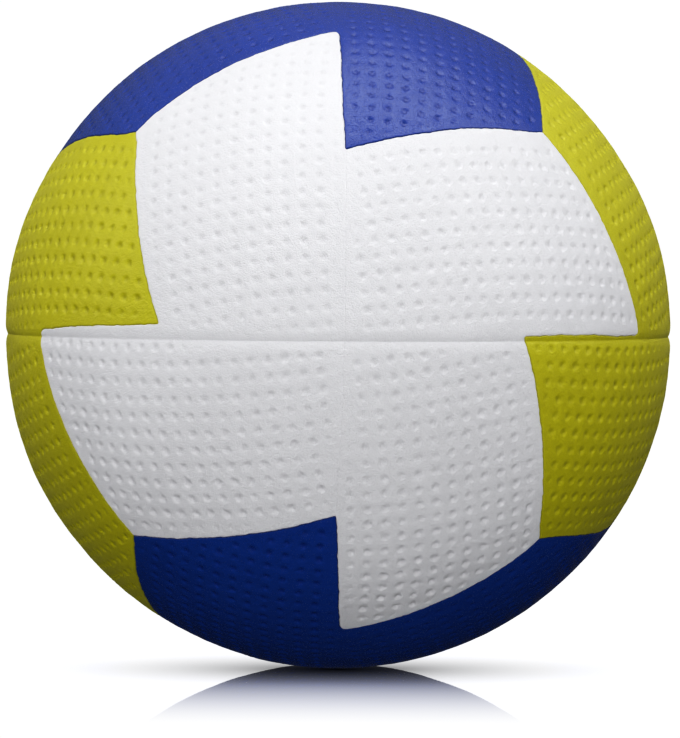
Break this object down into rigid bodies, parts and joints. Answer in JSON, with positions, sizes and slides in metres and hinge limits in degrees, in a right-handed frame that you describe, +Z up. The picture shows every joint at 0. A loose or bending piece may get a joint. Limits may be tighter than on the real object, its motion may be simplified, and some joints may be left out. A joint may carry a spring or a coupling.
{
  "type": "handball",
  "caption": "Inflated rubber handball with a dimpled cover of pinwheel panels in white, blue and lime yellow, a moulded parting groove and a needle valve.",
  "frame": {"origin": "centre of the ball", "axes": "+Z up through the middle of the top blue face; -Y towards the viewer through the middle of the front white face; +X to the viewer's right through the middle of the right yellow face. The mould parting groove lies in the XY plane."},
  "size_m": [0.162, 0.162, 0.162],
  "materials": {
    "white_cover": "dimpled semi-matte cellular rubber",
    "blue_cover": "dimpled semi-matte cellular rubber",
    "yellow_cover": "dimpled semi-matte cellular rubber",
    "carcass_rubber": "matte calendered rubber",
    "winding_thread": "wound nylon thread in latex",
    "bladder_rubber": "smooth butyl rubber",
    "valve_rubber": "moulded butyl rubber",
    "plug_rubber": "soft moulded rubber"
  },
  "bodies": {
    "ball": {"air_bladder": "bladder_rubber", "back_white_panel_lower_left": "white_cover", "back_white_panel_lower_right": "white_cover", "back_white_panel_upper_left": "white_cover", "back_white_panel_upper_right": "white_cover", "bottom_blue_panel_back_left": "blue_cover", "bottom_blue_panel_back_right": "blue_cover", "bottom_blue_panel_front_left": "blue_cover", "bottom_blue_panel_front_right": "blue_cover", "front_white_panel_lower_left": "white_cover", "front_white_panel_lower_right": "white_cover", "front_white_panel_upper_left": "white_cover", "front_white_panel_upper_right": "white_cover", "left_yellow_panel_lower_back": "yellow_cover", "left_yellow_panel_lower_front": "yellow_cover", "left_yellow_panel_upper_back": "yellow_cover", "left_yellow_panel_upper_front": "yellow_cover", "right_yellow_panel_lower_back": "yellow_cover", "right_yellow_panel_lower_front": "yellow_cover", "right_yellow_panel_upper_back": "yellow_cover", "right_yellow_panel_upper_front": "yellow_cover", "rubber_carcass": "carcass_rubber", "thread_winding": "winding_thread", "top_blue_panel_back_left": "blue_cover", "top_blue_panel_back_right": "blue_cover", "top_blue_panel_front_left": "blue_cover", "top_blue_panel_front_right": "blue_cover", "valve_housing": "valve_rubber"},
    "valve": {"valve_plug": "plug_rubber"}
  },
  "joints": [
    {"name": "valve_plug_pull", "type": "slide", "parent": "ball", "child": "valve", "axis": [0.314, 0.853, 0.417], "range_m": [0, 0.015]}
  ]
}
